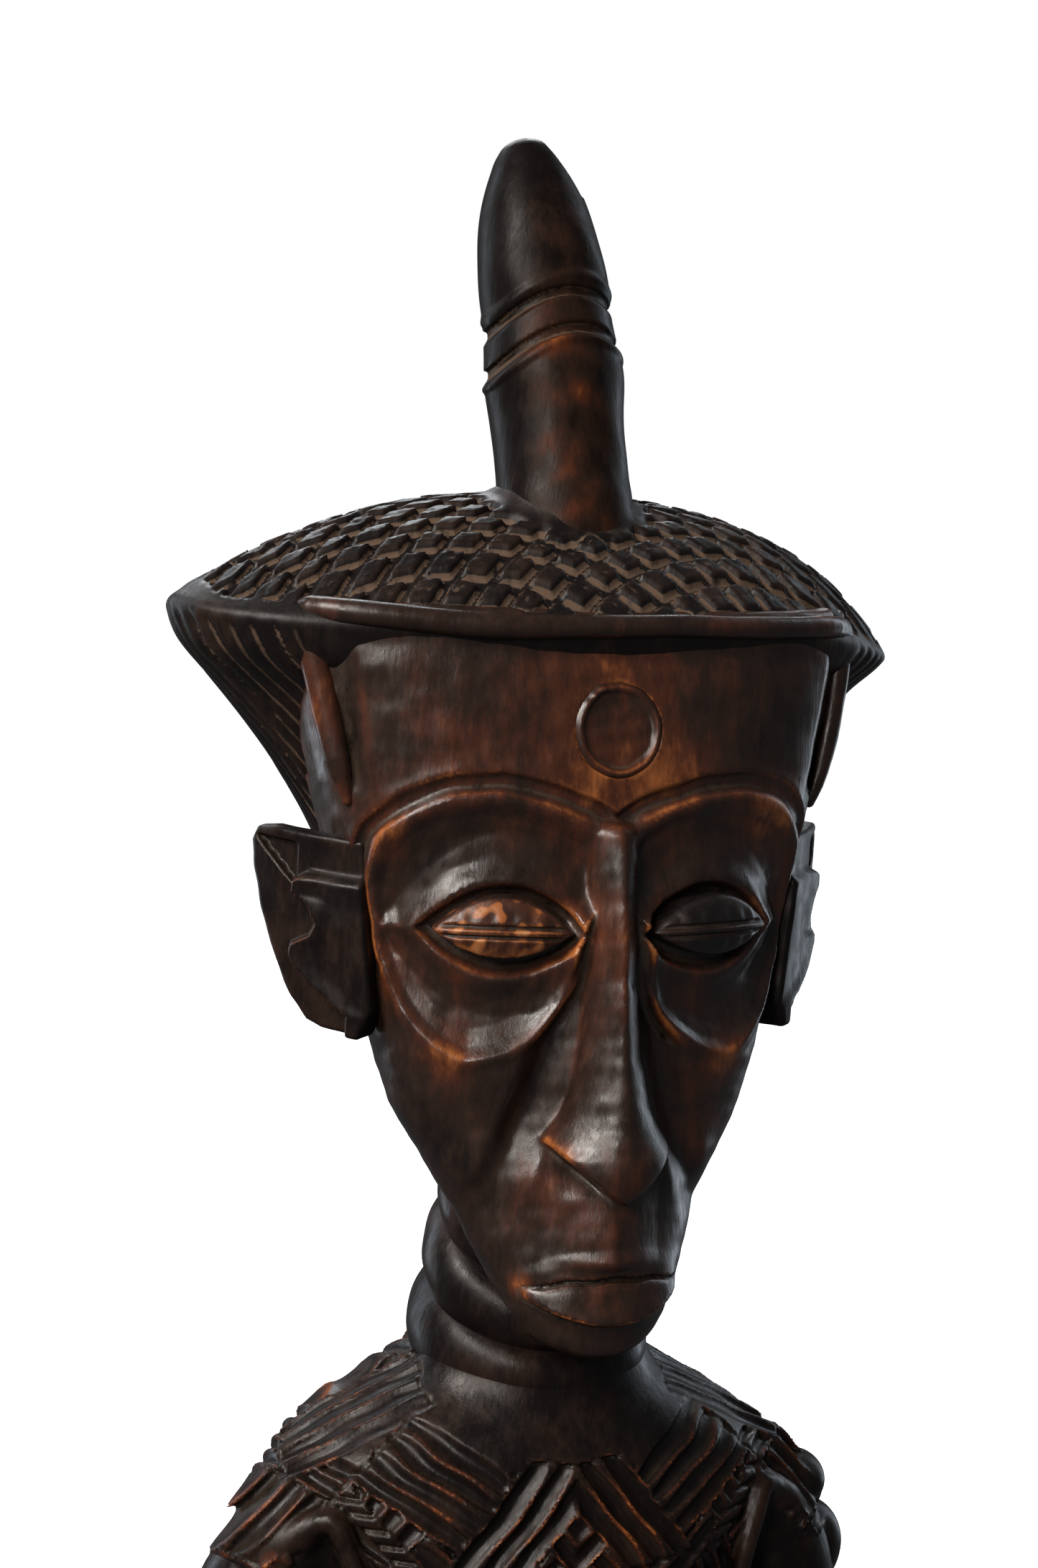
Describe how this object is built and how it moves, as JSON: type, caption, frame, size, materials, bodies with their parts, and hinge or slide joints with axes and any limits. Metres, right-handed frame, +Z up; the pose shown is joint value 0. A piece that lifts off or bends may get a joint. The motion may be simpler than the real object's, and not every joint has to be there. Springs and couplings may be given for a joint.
{
  "type": "fertility doll",
  "caption": "Carved wooden standing woman with a long face, ringed neck, broad lens-shaped coiffure, tall topknot and hands on her belly, on a round plinth.",
  "frame": {"origin": "centre of the plinth's underside", "axes": "+Z up along the figure, -Y the way she faces, +X her left"},
  "size_m": [0.124, 0.124, 0.4171],
  "materials": {
    "stained_wood": "dark stain, hand polished to a low gloss",
    "coiffure_wood": "dark stain, dull, with pale dust in the grooves",
    "worn_wood": "stain rubbed through to red-brown wood",
    "plinth_wood": "dark stain, dull"
  },
  "bodies": {
    "root": {"breast_left": "stained_wood", "breast_right": "stained_wood", "coiffure": "coiffure_wood", "ear_left": "stained_wood", "ear_right": "stained_wood", "eye_left": "worn_wood", "eye_right": "worn_wood", "foot_left": "stained_wood", "foot_right": "stained_wood", "forearm_left": "stained_wood", "forearm_right": "stained_wood", "forehead_disc": "worn_wood", "hairline_bead": "stained_wood", "hand_left": "stained_wood", "hand_right": "stained_wood", "head": "stained_wood", "hips": "stained_wood", "leg_left": "stained_wood", "leg_right": "stained_wood", "navel": "stained_wood", "neck_ring_lower": "stained_wood", "neck_ring_middle": "stained_wood", "neck_ring_upper": "stained_wood", "plinth": "plinth_wood", "topknot": "stained_wood", "torso": "stained_wood", "upper_arm_left": "stained_wood", "upper_arm_right": "stained_wood"}
  },
  "joints": []
}
